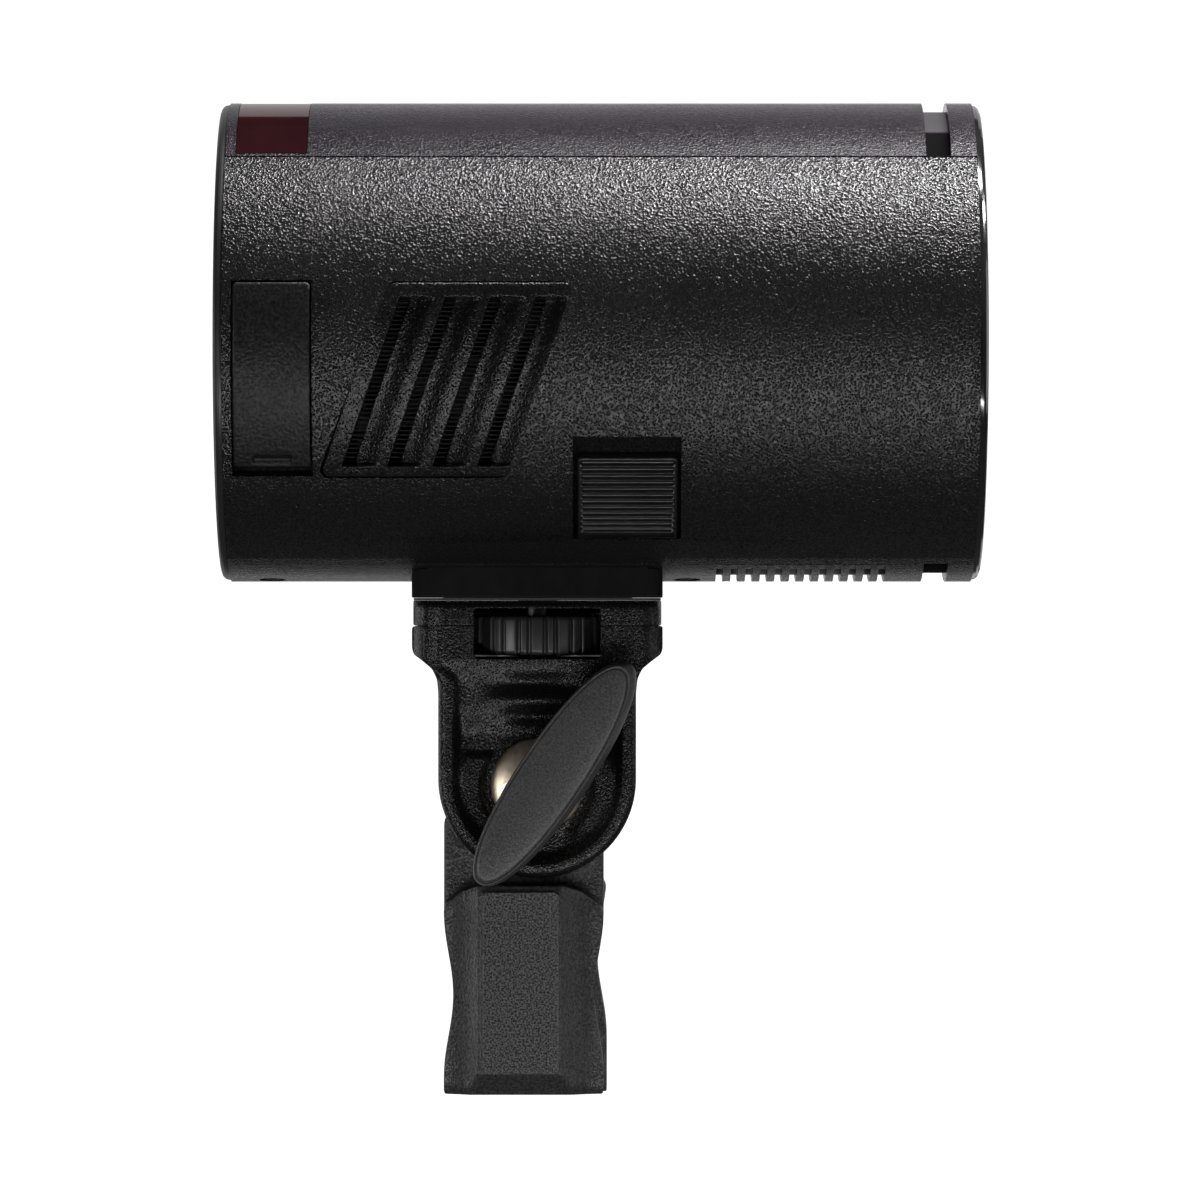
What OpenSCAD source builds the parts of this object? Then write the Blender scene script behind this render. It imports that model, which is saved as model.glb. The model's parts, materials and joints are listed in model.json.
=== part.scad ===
// Compact battery monolight strobe on a tilting stand bracket.
// Origin: centre of the stand socket's mouth. +Z up, +X the way the flash points, +Y the battery side.

/* [Barrel] */
// Outside diameter of the barrel
barrel_d = 76; // [76:0.1:76.4]
// Length of the barrel, rear rim to front bezel
barrel_len = 120; // [120:0.5:124]
// Height of the barrel's axis above the socket's mouth
head_z = 119; // [119:0.1:119.4]
// How far the barrel's middle sits ahead of the stand socket
head_x = 12; // [10:0.5:14]
// Thickness of the side shells
shell_wall = 2.2; // [2.0:0.1:2.4]
// Half angle of the top cover, from straight up
top_half = 42; // [40:1:44]
// Half angle of the bottom cover, from straight down
bottom_half = 22; // [21:1:23]

/* [Bracket] */
// Radius of the bore that takes a 16 mm light stand spigot
socket_r = 8.1; // [8.05:0.05:8.2]
// Depth of the stand socket
socket_depth = 30; // [26:1:31]
// Height of the tilt axis above the socket's mouth
pivot_z = 49; // [48.5:0.1:49.5]
// Offset of the tilt axis ahead of the stand socket
pivot_x = 2; // [1.5:0.1:2.5]
// Radius of the ears round the tilt axis
ear_r = 15.6; // [15:0.1:15.7]
// Depth of the bracket across the ears
yoke_depth = 26; // [25.6:0.2:26.4]

/* [Controls] */
// Radius of the control dial
dial_r = 9.5; // [8.5:0.1:9.6]
// Number of ridges round the locking wheel
wheel_teeth = 36; // [28:2:38]
// Number of fan blades
fan_blades = 7; // [5:1:9]

/* [Hidden] */
$fn = 96;
BLACK = [0.07, 0.07, 0.075];
SOFT_BLACK = [0.10, 0.10, 0.105];
RUBBER = [0.06, 0.06, 0.06];
BRASS = [0.72, 0.58, 0.36];
STEEL = [0.62, 0.63, 0.65];
BOARD = [0.05, 0.22, 0.12];
WHITE = [0.88, 0.87, 0.83];

R = barrel_d / 2;
r_in = R - shell_wall;
half = barrel_len / 2;
eps = 0.01;
seam = 0.22;                 // half the parting line's width, in degrees
top_seam = 180 - top_half;   // angle up from straight down to the top parting line
shell_u0 = -half + 1.4;      // rear end of the shells, from the barrel's middle
shell_u1 = half - 1.3;       // front end
cover_in = r_in - 1.2;       // inner radius of the covers' ledges
ledge = 2.5;                 // degrees that a cover's ledge runs under a side shell

slot_u = [50.8, 54.65];      // accessory slot across the top and bottom covers
slot_floor = R - 1.4;
window_u = [-56.9, -45.9];   // red sensor window
port_u = [-57.0, -44.8];     // port cover
port_a = [57.5, 102.7];      // its lower and upper angle
latch_u = [-3.6, 12.0];      // battery latch
latch_a = [34.6, 61.0];
vent_top = [-33.2, -4.2];    // upper edge of the slanted vent panel
vent_bottom = [-43.8, -14.0];
vent_z = [-22.0, 8.4];
vent_slots = 4;
fan_u = -23.6;
fan_z = -6.7;
fan_y = [-27.5, -21.0];
fan_size = 28.6;
pack_u = [-32, 38];          // battery pack
pack_z = [-28.4, -8.0];
pack_y0 = -19.2;
cell_r = 9.0;
cell_z = (pack_z[0] + pack_z[1]) / 2;
floor_vent_u = [17.6, 45.5]; // cooling slots in the bottom cover
floor_vents = 12;

yoke_y = yoke_depth / 2;
tongue_y = 6.3;
ear_in = 6.8;                // inner face of each ear
bridge_z = pivot_z + 16.6;   // underside of the bridge between the ears
yoke_top = 74.0;
cap_top = 78.0;
foot_z = 78.45;              // underside of the barrel's foot
yoke_half = 19.8;            // half the width of the yoke's head
wheel_z = [69.4, 75.6];
wheel_r = 12.4;
bolt_r = 3.0;
screw_r = 3.17;              // quarter-inch camera screw
insert_r = 5.0;              // brass insert that the screw goes into
clamp_z = 16;
block_half = 12.8;

// rear face layout: [across, up] from the barrel's axis
lcd_at = [0, 13];
dial_at = [0, -17.5];
pill_size = [8.4, 5.2];
pills = [[18.5, -8], [17, -20.5], [-18.5, -8], [-17, -20.5]];
round_at = 27;               // distance of the test and power buttons from the middle

// ---------- helpers ----------

// local Z becomes the barrel's axis; local X points straight down, so angles run from the bottom
module along_barrel() translate([head_x, 0, head_z]) rotate([0, 90, 0]) children();

// part of a tube round the barrel's axis; positive angles are on the battery side
module arc(r0, r1, u0, u1, a0, a1) {
    along_barrel()
        rotate_extrude(angle = a1 - a0, start = a0)
            translate([r0, u0]) square([r1 - r0, u1 - u0]);
}

module ring(r0, r1, u0, u1) {
    along_barrel()
        rotate_extrude()
            translate([r0, u0]) square([r1 - r0, u1 - u0]);
}

module disc(r, u0, u1) along_barrel() translate([0, 0, u0]) cylinder(r = r, h = u1 - u0);

// box in barrel coordinates: along, across, up
module block(u, y, z)
    translate([head_x + u[0], y[0], head_z + z[0]])
        cube([u[1] - u[0], y[1] - y[0], z[1] - z[0]]);

// outline drawn as [along, up], given thickness across
module across(y0, y1) translate([0, y1, 0]) rotate([90, 0, 0]) linear_extrude(y1 - y0) children();

// outline drawn as [across, up] from the barrel's axis, given thickness along it
module endwise(u0, u1)
    translate([head_x + u0, 0, head_z]) rotate([90, 0, 90]) linear_extrude(u1 - u0) children();

module round_rect(w, h, r) {
    square([w - 2 * r, h], center = true);
    square([w, h - 2 * r], center = true);
    for (x = [-1, 1], y = [-1, 1])
        translate([x * (w / 2 - r), y * (h / 2 - r)]) circle(r);
}

// pin or hole across the bracket, from y0 to y1
module cross_pin(x, z, r, y0, y1) translate([x, y1, z]) rotate([90, 0, 0]) cylinder(r = r, h = y1 - y0);

// the slanted vent panel's outline, shrunk by inset
module vent_outline(inset) {
    corner = 1.3;
    hull()
        for (p = [[vent_top[0], vent_z[1]], [vent_top[1], vent_z[1]],
                  [vent_bottom[1], vent_z[0]], [vent_bottom[0], vent_z[0]]]) {
            across_sign = (p[0] == vent_top[0] || p[0] == vent_bottom[0]) ? 1 : -1;
            up_sign = p[1] > 0 ? -1 : 1;
            translate([p[0] + across_sign * (corner + inset + 0.3), p[1] + up_sign * (corner + inset)])
                circle(corner, $fn = 24);
        }
}

// ---------- barrel shells ----------

module side_arc(side, r0, r1, u0, u1, a0, a1)
    arc(r0, r1, u0, u1, side > 0 ? a0 : -a1, side > 0 ? a1 : -a0);

module side_shell_left() {
    color(BLACK) difference() {
        union() {
            side_arc(-1, r_in, R, shell_u0, shell_u1, bottom_half + seam, top_seam - seam);
            side_arc(-1, 34.3, r_in + 0.1, port_u[0] + 0.2, port_u[1] + 1.2, 54, 104);
            side_arc(-1, 34.3, r_in + 0.1, latch_u[0] - 1.9, latch_u[1] + 1.4, 36, 67);
        }
        side_arc(-1, R - 1.7, R + 1, port_u[0] - 0.15, port_u[1] + 0.15, port_a[0] - 2.4, port_a[1] + 0.3);
        side_arc(-1, R - 1.8, R + 1, latch_u[0] - 0.7, latch_u[1] + 0.5, latch_a[0] - 0.5, latch_a[1] + 4.6);
        side_arc(-1, 30, R, latch_u[0] + 5.5, latch_u[0] + 10.1, 45, 54.5);
        translate([head_x, 0, head_z]) across(-R - 1, -24) vent_outline(0);
        // the two sockets behind the port cover
        cross_pin(head_x - 50.9, head_z, 3.6, -R, -33);
        translate([head_x - 50.9, 0, head_z]) rotate([18, 0, 0])
            across(-R, -33) round_rect(3.8, 9.6, 1.8);
    }
}

module side_shell_right() {
    color(BLACK) difference() {
        side_arc(1, r_in, R, shell_u0, shell_u1, bottom_half + seam, top_seam - seam);
        translate([head_x + (pack_u[0] + pack_u[1]) / 2, 0, head_z + cell_z])
            across(5, R + 1)
                round_rect(pack_u[1] - pack_u[0] + 0.4, pack_z[1] - pack_z[0] + 0.4, 2.2);
    }
}

module top_cover() {
    color(BLACK) difference() {
        union() {
            arc(cover_in, R, shell_u0, shell_u1, top_seam + seam, 360 - top_seam - seam);
            arc(cover_in, r_in - 0.05, shell_u0 + 2, shell_u1 - 1, top_seam - ledge, 360 - top_seam + ledge);
        }
        // seat and light hole of the red window
        arc(R - 1.6, R + 1, window_u[0] - 0.1, window_u[1] + 0.1, top_seam + 1.1, 360 - top_seam - 1.1);
        arc(cover_in - 1, R, window_u[0] + 2, window_u[1] - 2, 165, 195);
        arc(slot_floor - 0.5, R + 1, slot_u[0], slot_u[1], top_seam - 1, 360 - top_seam + 1);
    }
}

module bottom_cover() {
    slot_pitch = (floor_vent_u[1] - floor_vent_u[0]) / floor_vents;
    color(BLACK) difference() {
        union() {
            arc(cover_in, R, shell_u0, shell_u1, -bottom_half + seam, bottom_half - seam);
            arc(cover_in, r_in - 0.05, shell_u0 + 2, shell_u1 - 1, -bottom_half - ledge, bottom_half + ledge);
        }
        arc(slot_floor - 0.5, R + 1, slot_u[0], slot_u[1], -bottom_half - 1, bottom_half + 1);
        for (i = [0 : floor_vents - 1]) {
            u = floor_vent_u[0] + i * slot_pitch;
            arc(R - 0.6, R + 1, u + 0.6, u + slot_pitch - 0.6, -bottom_half + 1, bottom_half - 1);
            arc(cover_in - 1, R, u + 0.6, u + slot_pitch - 0.6, -16, 16);
        }
        translate([pivot_x, 0, 78]) cylinder(r = 5.05, h = 10);
        for (u = [-52, 13.7], side = [-1, 1])
            screw_place(u, side) union() {
                cylinder(r = 1.1, h = 5);
                translate([0, 0, -3]) cylinder(r = 2.1, h = 4.2);
            }
    }
}

// screws point from the bottom cover towards the axis, from the outer surface at 0
module screw_place(u, side)
    translate([head_x + u, 0, head_z]) rotate([-side * 7, 0, 0]) translate([0, 0, -R]) children();

module case_screws() {
    color(STEEL)
        for (u = [-52, 13.7], side = [-1, 1])
            screw_place(u, side) difference() {
                union() {
                    translate([0, 0, 0.3]) cylinder(r = 2.0, h = 0.9);
                    translate([0, 0, 1.1]) cylinder(r = 1.05, h = 3.4);
                }
                cylinder(r = 0.8, h = 0.8, $fn = 6);
            }
}

module sensor_window() {
    color([0.45, 0.05, 0.06])
        arc(R - 1.5, R, window_u[0], window_u[1], top_seam + 1.3, 360 - top_seam - 1.3);
}

module accessory_rails() {
    u0 = slot_u[0] + 0.05;
    u1 = slot_u[1] - 0.05;
    color(SOFT_BLACK) {
        arc(slot_floor - 0.5, slot_floor, u0, u1, top_seam + seam, 360 - top_seam - seam);
        arc(slot_floor - 0.5, slot_floor, u0, u1, -bottom_half + seam, bottom_half - seam);
    }
}

// ---------- flash end ----------

module front_bezel() {
    inner = 28.6;
    color(BLACK) along_barrel() rotate_extrude() polygon([
        [inner, half - 0.55], [inner + 0.3, half], [R - 1.4, half],
        for (a = [80 : -20 : 0]) [R - 1.4 + 1.1 * cos(a), half - 1.1 + 1.1 * sin(a)],
        [R - 0.3, half - 1.25], [29.7, half - 1.25], [29.7, half - 0.55]
    ]);
}

module front_glass() {
    rings = 9;
    color([0.9, 0.9, 0.86, 0.5]) along_barrel() rotate_extrude() polygon([
        [0, half - 2.2],
        for (i = [0 : rings - 1]) each [[2.6 + i * 2.8, half - 2.2], [2.7 + i * 2.8, half - 3.0 + 0.04 * i]],
        [28.4, half - 3.0], [29.4, half - 3.0], [29.4, half - 0.6], [0, half - 0.6]
    ]);
}

module front_barrel() {
    color(SOFT_BLACK) difference() {
        union() {
            ring(32.6, cover_in - 0.1, 41.4, shell_u1);
            ring(29.6, 33.5, 56.0, shell_u1);
        }
        magnet_places() cylinder(r = 2.25, h = 5);
    }
}

module magnet_places()
    for (i = [0 : 7])
        along_barrel() rotate([0, 0, i * 45 + 22.5]) translate([32.1, 0, shell_u1 - 2.1]) children();

module accessory_magnets() color(STEEL) magnet_places() cylinder(r = 2.2, h = 2.05);

function bowl_r(u) = 12.6 + 15.4 * sqrt((u - 43.2) / 12.6);

module reflector() {
    steps = 12;
    us = [for (i = [0 : steps]) 43.2 + 12.6 * pow(i / steps, 2)];
    color([0.85, 0.85, 0.87]) along_barrel() rotate_extrude() polygon([
        for (u = us) [bowl_r(u), u],
        for (i = [steps : -1 : 0]) [bowl_r(us[i]) + 0.9, us[i] - 0.2]
    ]);
}

module flash_tube() {
    ring_r = 9.5;
    tube_r = 2.3;
    ring_u = 49;
    color([0.92, 0.9, 0.82, 0.6]) along_barrel() {
        translate([0, 0, ring_u])
            rotate_extrude(angle = 310, start = 25) translate([ring_r, 0]) circle(tube_r);
        for (a = [25, -25]) rotate([0, 0, a]) translate([ring_r, 0, 43.1])
            cylinder(r = tube_r, h = ring_u - 43.1);
    }
}

module lamp_base() {
    color(WHITE) {
        disc(11.8, 39.75, 42.9);
        ring(11.7, 14.5, 41.3, 42.9);
    }
}

module modelling_leds() {
    color(WHITE) disc(6.6, 42.95, 44.0);
    color([0.95, 0.85, 0.35])
        along_barrel() for (i = [0 : 2]) rotate([0, 0, i * 120 + 60])
            translate([3.6, 0, 44.0 - eps]) cylinder(r = 1.3, h = 0.9);
}

module bulkhead() {
    color(SOFT_BLACK) difference() {
        disc(34.0, 39.7, 41.2);
        disc(11.9, 39, 42);
    }
}

// ---------- inside the barrel ----------

module capacitors() {
    color([0.12, 0.14, 0.3]) for (side = [-1, 1])
        along_barrel() translate([-9.2, side * 12.6, -8]) union() {
            cylinder(r = 12.2, h = 42);
            translate([0, 0, 41.5]) cylinder(r = 11.2, h = 2);
        }
}

module trigger_transformer() {
    color([0.5, 0.42, 0.12]) {
        block([0, 20], [-7.5, 7.5], [22.8, 31.5]);
        block([-2, 22], [-5, 5], [24.5, 29.5]);
    }
}

module main_board() {
    color(BOARD) block([-50, 36], [-18, 28], [-5.6, -4.0]);
    color(SOFT_BLACK) block([-46, -38], [-8, 2], [-4.0 - eps, 1.0]);
    color(SOFT_BLACK) block([-30, -16], [4, 20], [-4.0 - eps, 6.0]);
}

module battery_bay() {
    color(SOFT_BLACK) difference() {
        intersection() {
            block([pack_u[0] - 1.4, pack_u[1] + 1.4], [pack_y0 - 1.4, 33],
                [pack_z[0] - 1.4, pack_z[1] + 1.2]);
            disc(33.9, -50, 50);
        }
        block([pack_u[0] - 0.2, pack_u[1] + 0.2], [pack_y0 - 0.2, 40], [pack_z[0] - 0.2, pack_z[1] + 0.2]);
        for (i = [-1 : 1]) terminal_slot(i, 0.15);
    }
}

module terminal_slot(i, grow)
    block([-24 + i * 5 - 0.5 - grow, -24 + i * 5 + 0.5 + grow],
          [pack_y0 - 1.45 - grow, pack_y0 + 1.2 + grow],
          [cell_z - 3 - grow, cell_z + 3 + grow]);

module battery_terminals() color(BRASS) for (i = [-1 : 1]) terminal_slot(i, 0);

module battery_case() {
    wall = 1.1;
    color(BLACK) difference() {
        intersection() {
            translate([head_x + (pack_u[0] + pack_u[1]) / 2, 0, head_z + cell_z])
                across(pack_y0, R + 1)
                    round_rect(pack_u[1] - pack_u[0], pack_z[1] - pack_z[0], 2);
            union() {
                disc(33.7, pack_u[0] - 1, pack_u[1] + 1);
                intersection() {
                    disc(R, pack_u[0] - 1, pack_u[1] + 1);
                    block([-50, 50], [5, 40], [-40, 0]);
                }
            }
        }
        block([pack_u[0] + wall, pack_u[1] - wall], [pack_y0 + wall, 24],
            [pack_z[0] + wall, pack_z[1] - wall]);
        for (i = [-1 : 1]) terminal_slot(i, 0.25);
        // finger grooves in the outer face
        for (i = [0 : 4]) arc(R - 0.5, R + 1, 26 + i * 2.2, 27.1 + i * 2.2, 50, 70);
    }
}

module battery_cells() {
    color([0.1, 0.35, 0.55]) for (y = [-8.8, 9.6])
        along_barrel() translate([-cell_z, y, -29.6]) union() {
            cylinder(r = cell_r, h = 64);
            translate([0, 0, 63.9]) cylinder(r = 3, h = 1.2);
        }
}

module fan_frame() {
    color(SOFT_BLACK) difference() {
        translate([head_x + fan_u, 0, head_z + fan_z])
            across(fan_y[0], fan_y[1]) round_rect(fan_size, fan_size, 2);
        cross_pin(head_x + fan_u, head_z + fan_z, 13.5, fan_y[0] - 1, fan_y[1] - 1);
        for (a = [0 : 3]) translate([head_x + fan_u, 0, head_z + fan_z]) rotate([0, a * 90 + 45, 0])
            across(fan_y[1] - 1.5, fan_y[1] + 1) translate([8.9, 0]) square([8.4, 13], center = true);
    }
    color(STEEL) cross_pin(head_x + fan_u, head_z + fan_z, 0.8, fan_y[0] + 1.5, fan_y[1] - 0.5);
}

module fan_rotor() {
    color(SOFT_BLACK) difference() {
        union() {
            cross_pin(head_x + fan_u, head_z + fan_z, 5.2, fan_y[0] + 0.8, fan_y[1] - 1.4);
            for (i = [0 : fan_blades - 1])
                translate([head_x + fan_u, (fan_y[0] + fan_y[1]) / 2 - 0.3, head_z + fan_z])
                    rotate([0, i * 360 / fan_blades, 0]) translate([8.6, 0, 0]) rotate([32, 0, 0])
                        cube([8, 5.0, 0.9], center = true);
        }
        cross_pin(head_x + fan_u, head_z + fan_z, 0.85, fan_y[0] + 1.4, fan_y[1]);
    }
}

module vent_grille() {
    pitch = 7.03;
    slot = 3.4;
    lean = (vent_top[0] - vent_bottom[0]) / (vent_z[1] - vent_z[0]);
    low = vent_z[0] + 1.7;
    high = vent_z[1] - 2.4;
    color(BLACK) intersection() {
        side_arc(-1, r_in, R, -50, 0, 40, 110);
        translate([head_x, 0, head_z]) across(-R - 1, -20) difference() {
            vent_outline(0.15);
            for (i = [0 : vent_slots - 1]) {
                left = vent_bottom[0] + 3.0 + i * pitch;
                shift = lean * (high - low);
                polygon([[left, low], [left + slot, low], [left + slot + shift, high], [left + shift, high]]);
            }
        }
    }
}

module vent_mesh() {
    bars = 17;
    color(SOFT_BLACK) intersection() {
        union() {
            for (i = [0 : bars - 1])
                translate([head_x - 44.5, -36, head_z + vent_z[0] + 0.6 + i * 1.75]) cube([41, 12, 0.8]);
            for (i = [0 : 6])
                translate([head_x - 43.5 + i * 6.3, -36, head_z + vent_z[0]]) cube([0.8, 12, 30]);
        }
        side_arc(-1, 34.75, 35.25, -43.3, -5.8, 50, 103);
    }
}

module usb_port() {
    color(STEEL) translate([head_x - 50.9, 0, head_z]) rotate([18, 0, 0]) difference() {
        across(-R + 2.0, -29) round_rect(3.3, 9.0, 1.6);
        across(-R + 1.9, -30) round_rect(2.7, 8.4, 1.3);
    }
    color(SOFT_BLACK) translate([head_x - 50.9, 0, head_z]) rotate([18, 0, 0])
        across(-R + 3.0, -29.5) square([0.7, 6.6], center = true);
}

module sync_jack() {
    color(SOFT_BLACK) difference() {
        cross_pin(head_x - 50.9, head_z, 3.5, -R + 2.0, -22);
        cross_pin(head_x - 50.9, head_z, 1.8, -R, -24);
    }
}

module slave_sensor() {
    color([0.25, 0.05, 0.06]) block([-54, -49], [-2.5, 2.5], [29.5, 31.5]);
    color([0.12, 0.02, 0.03]) translate([head_x - 51.5, 0, head_z + 31.4]) cylinder(r = 1.8, h = 1.6);
}

module mount_foot() {
    color(SOFT_BLACK) difference() {
        translate([pivot_x, 0, foot_z]) linear_extrude(6) round_rect(2 * yoke_half, yoke_depth, 2.5);
        along_barrel() translate([0, 0, -60]) cylinder(r = R + 0.02, h = 120);
        translate([pivot_x, 0, 70]) linear_extrude(foot_z - 70 + 0.8) round_rect(30.6, 17.6, 2.3);
        translate([pivot_x, 0, 70]) cylinder(r = 5.05, h = 20);
    }
}

module thread_insert() {
    color(BRASS) difference() {
        translate([pivot_x, 0, foot_z + 0.5]) cylinder(r = insert_r, h = 8.8);
        translate([pivot_x, 0, foot_z]) cylinder(r = screw_r + 0.08, h = 12);
    }
}

// ---------- rear controls ----------

module rear_panel() {
    color(BLACK) difference() {
        union() {
            along_barrel() rotate_extrude() polygon([
                [0, -half + 1.35], [R - 0.3, -half + 1.35], [R - 0.3, -half + 1.0],
                for (a = [0 : 20 : 80]) [R - 1.3 + cos(a), -half + 1.0 - sin(a)],
                [R - 1.6, -half], [R - 2.6, -half], [R - 3.0, -half + 0.5], [0, -half + 0.5]
            ]);
            disc(34.1, -half + 1.3, -half + 2.8);
        }
        endwise(-half, -half + 1.45) translate(lcd_at) round_rect(38.4, 22.4, 1.6);
        endwise(-half, -half + 4) translate(lcd_at) square([34, 18], center = true);
        endwise(-half - 1, -half + 4) {
            translate(dial_at) circle(dial_r + 0.3);
            for (p = pills) translate(p) round_rect(pill_size[0] + 0.4, pill_size[1] + 0.4, 2.2);
            for (side = [-1, 1]) translate([side * round_at, lcd_at[1]]) circle(3.4);
        }
    }
}

module lcd_window() {
    color([0.05, 0.06, 0.07])
        endwise(-half + 0.5, -half + 1.4) translate(lcd_at) round_rect(38.2, 22.2, 1.5);
}

module lcd_module() {
    color([0.55, 0.62, 0.55])
        endwise(-half + 1.5, -half + 3.6) translate(lcd_at) square([33.8, 17.8], center = true);
}

module control_board() {
    color(BOARD) difference() {
        disc(32.5, -56.2, -54.6);
        block([-57, -54], [-40, -27], [-16, 6]);
    }
    // tact switches under the buttons and the dial's encoder
    color(SOFT_BLACK) endwise(-56.9, -56.2 + eps) {
        for (p = pills) translate(p) square([4, 4], center = true);
        for (side = [-1, 1]) translate([side * round_at, lcd_at[1]]) square([4, 4], center = true);
        translate(dial_at) circle(6.5);
    }
}

module pill_button(p) {
    color(RUBBER) endwise(-half + 0.1, -57.6) translate(p) round_rect(pill_size[0], pill_size[1], 2.1);
}

module round_button(side) {
    color(side < 0 ? [0.55, 0.1, 0.08] : RUBBER)
        endwise(-half + 0.1, -57.6) translate([side * round_at, lcd_at[1]]) circle(3.1);
}

module control_dial() {
    ridges = 30;
    color(SOFT_BLACK) endwise(-half - 0.8, -57.2) translate(dial_at) difference() {
        circle(dial_r);
        circle(4.5);
        for (i = [0 : ridges - 1]) rotate(i * 360 / ridges) translate([dial_r, 0]) circle(0.4, $fn = 16);
    }
}

module set_button() color(RUBBER) endwise(-half - 0.6, -57.5) translate(dial_at) circle(4.2);

module port_cover() {
    color(RUBBER) difference() {
        side_arc(-1, R - 1.6, R, port_u[0], port_u[1], port_a[0], port_a[1]);
        side_arc(-1, R - 1.65, R - 1.1, port_u[0] + 1.4, port_u[1] - 1.4, port_a[0] + 3, port_a[1] - 6);
    }
}

module battery_latch() {
    ribs = 12;
    step = (latch_a[1] - latch_a[0] - 3.4) / ribs;
    color(SOFT_BLACK) {
        difference() {
            side_arc(-1, R - 1.7, R + 0.2, latch_u[0], latch_u[1], latch_a[0], latch_a[1]);
            for (i = [0 : ribs - 1])
                side_arc(-1, R - 0.35, R + 1, latch_u[0] + 0.9, latch_u[1] - 0.9,
                         latch_a[0] + 1.9 + i * step, latch_a[0] + 1.9 + (i + 0.55) * step);
        }
        side_arc(-1, 29.3, R - 1.6, latch_u[0] + 5.8, latch_u[0] + 9.8, 46, 49);
    }
}

// ---------- bracket ----------

// the yoke seen from the side: round ears, straight neck and shouldered head
module yoke_outline(inset) {
    r = ear_r - inset;
    middle = pivot_z + 0.9;
    translate([pivot_x, middle]) circle(r);
    translate([pivot_x - r, middle]) square([2 * r, 17]);
}

module yoke_shoulders() {
    translate([pivot_x, 0]) polygon([
        for (side = [-1, 1]) each (side < 0
            ? [[-ear_r, 63.5], [-ear_r - 0.2, 65.6], [-ear_r - 0.9, 67.2], [-ear_r - 2.6, 68.6],
               [-yoke_half + 0.3, 69.5], [-yoke_half, 70.4], [-yoke_half, yoke_top]]
            : [[yoke_half, yoke_top], [yoke_half, 70.4], [yoke_half - 0.3, 69.5],
               [ear_r + 2.6, 68.6], [ear_r + 0.9, 67.2], [ear_r + 0.2, 65.6], [ear_r, 63.5]])
    ]);
}

module wheel_cavity() {
    translate([pivot_x, 0, wheel_z[0] - 0.3]) cylinder(r = wheel_r + 0.3, h = wheel_z[1] - wheel_z[0] + 0.9);
    translate([pivot_x, 0, 66.4]) cylinder(r = screw_r + 0.13, h = 20);
}

module wheel_window() {
    translate([pivot_x - 10, -20, 68.8]) cube([20, 20, 8]);
    translate([pivot_x - 10, 0, 69.7]) cube([20, 20, 5.5]);
}

module yoke() {
    rim = 2.1;
    color(BLACK) difference() {
        intersection() {
            across(-yoke_y, yoke_y) {
                yoke_outline(0);
                yoke_shoulders();
            }
            translate([pivot_x, 0, 30]) linear_extrude(50) round_rect(2 * yoke_half, yoke_depth, 3);
        }
        // slot for the tongue
        translate([-30, -ear_in, 20]) cube([60, 2 * ear_in, bridge_z - 20]);
        wheel_cavity();
        wheel_window();
        // recessed face inside each ear's rim
        for (side = [-1, 1])
            across(side < 0 ? -yoke_y - 1 : yoke_y - 1.5, side < 0 ? -yoke_y + 1.5 : yoke_y + 1)
                yoke_outline(rim);
        cross_pin(pivot_x, pivot_z, bolt_r + 0.1, -20, 20);
        for (side = [-1, 1], x = [-17.2, 17.2])
            translate([pivot_x + x, side * 9.5, yoke_top - 5]) cylinder(r = 0.9, h = 6);
    }
    // raised bosses beside the pivot washer
    color(BLACK) for (side = [-1, 1]) difference() {
        across(side < 0 ? -yoke_y + 0.9 : yoke_y - 1.5 - eps, side < 0 ? -yoke_y + 1.5 + eps : yoke_y - 0.9)
            intersection() {
                translate([pivot_x, pivot_z]) circle(11.4);
                translate([pivot_x - 20, pivot_z - 20]) square([40, 25]);
            }
        cross_pin(pivot_x, pivot_z, 7.8, side < 0 ? -20 : 0, side < 0 ? 0 : 20);
    }
    // moulded rib under the wheel window
    color(BLACK) intersection() {
        translate([pivot_x, 1.6 - yoke_y, 64.6])
            scale([2.6, 1, 1]) rotate([90, 0, 0]) cylinder(r = 3.2, h = 1.2);
        across(-yoke_y, -yoke_y + 2) yoke_outline(rim + 0.1);
    }
}

module yoke_cap() {
    color(BLACK) difference() {
        translate([pivot_x, 0, yoke_top + 0.05]) linear_extrude(cap_top - yoke_top - 0.05)
            round_rect(2 * yoke_half - 0.4, yoke_depth - 0.4, 2.9);
        wheel_cavity();
        wheel_window();
        translate([pivot_x, 0, 70]) cylinder(r = 3.6, h = 20);
        for (side = [-1, 1], x = [-17.2, 17.2])
            translate([pivot_x + x, side * 9.5, 70]) cylinder(r = 1.0, h = 20);
    }
}

module shoe_pad() {
    color(RUBBER) difference() {
        union() {
            translate([pivot_x, 0, cap_top + 0.01]) linear_extrude(0.41)
                round_rect(2 * yoke_half - 0.6, yoke_depth - 0.6, 2.8);
            translate([pivot_x, 0, foot_z - 0.05]) linear_extrude(0.7) round_rect(30, 17, 2);
        }
        translate([pivot_x, 0, 70]) cylinder(r = insert_r + 0.2, h = 20);
    }
}

module thumb_wheel() {
    color(SOFT_BLACK) translate([pivot_x, 0, wheel_z[0]]) difference() {
        linear_extrude(wheel_z[1] - wheel_z[0]) difference() {
            circle(wheel_r);
            circle(screw_r + 0.03);
            // grooves in pairs, so that the ridges are wide and narrow by turns
            for (i = [0 : wheel_teeth / 2 - 1], side = [-1, 1])
                rotate(i * 720 / wheel_teeth + side * 4)
                    translate([wheel_r + 0.15, 0]) circle(0.72, $fn = 16);
        }
        translate([0, 0, 4.9]) difference() {
            cylinder(r = 11, h = 2);
            cylinder(r = 6, h = 2);
        }
    }
}

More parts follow.
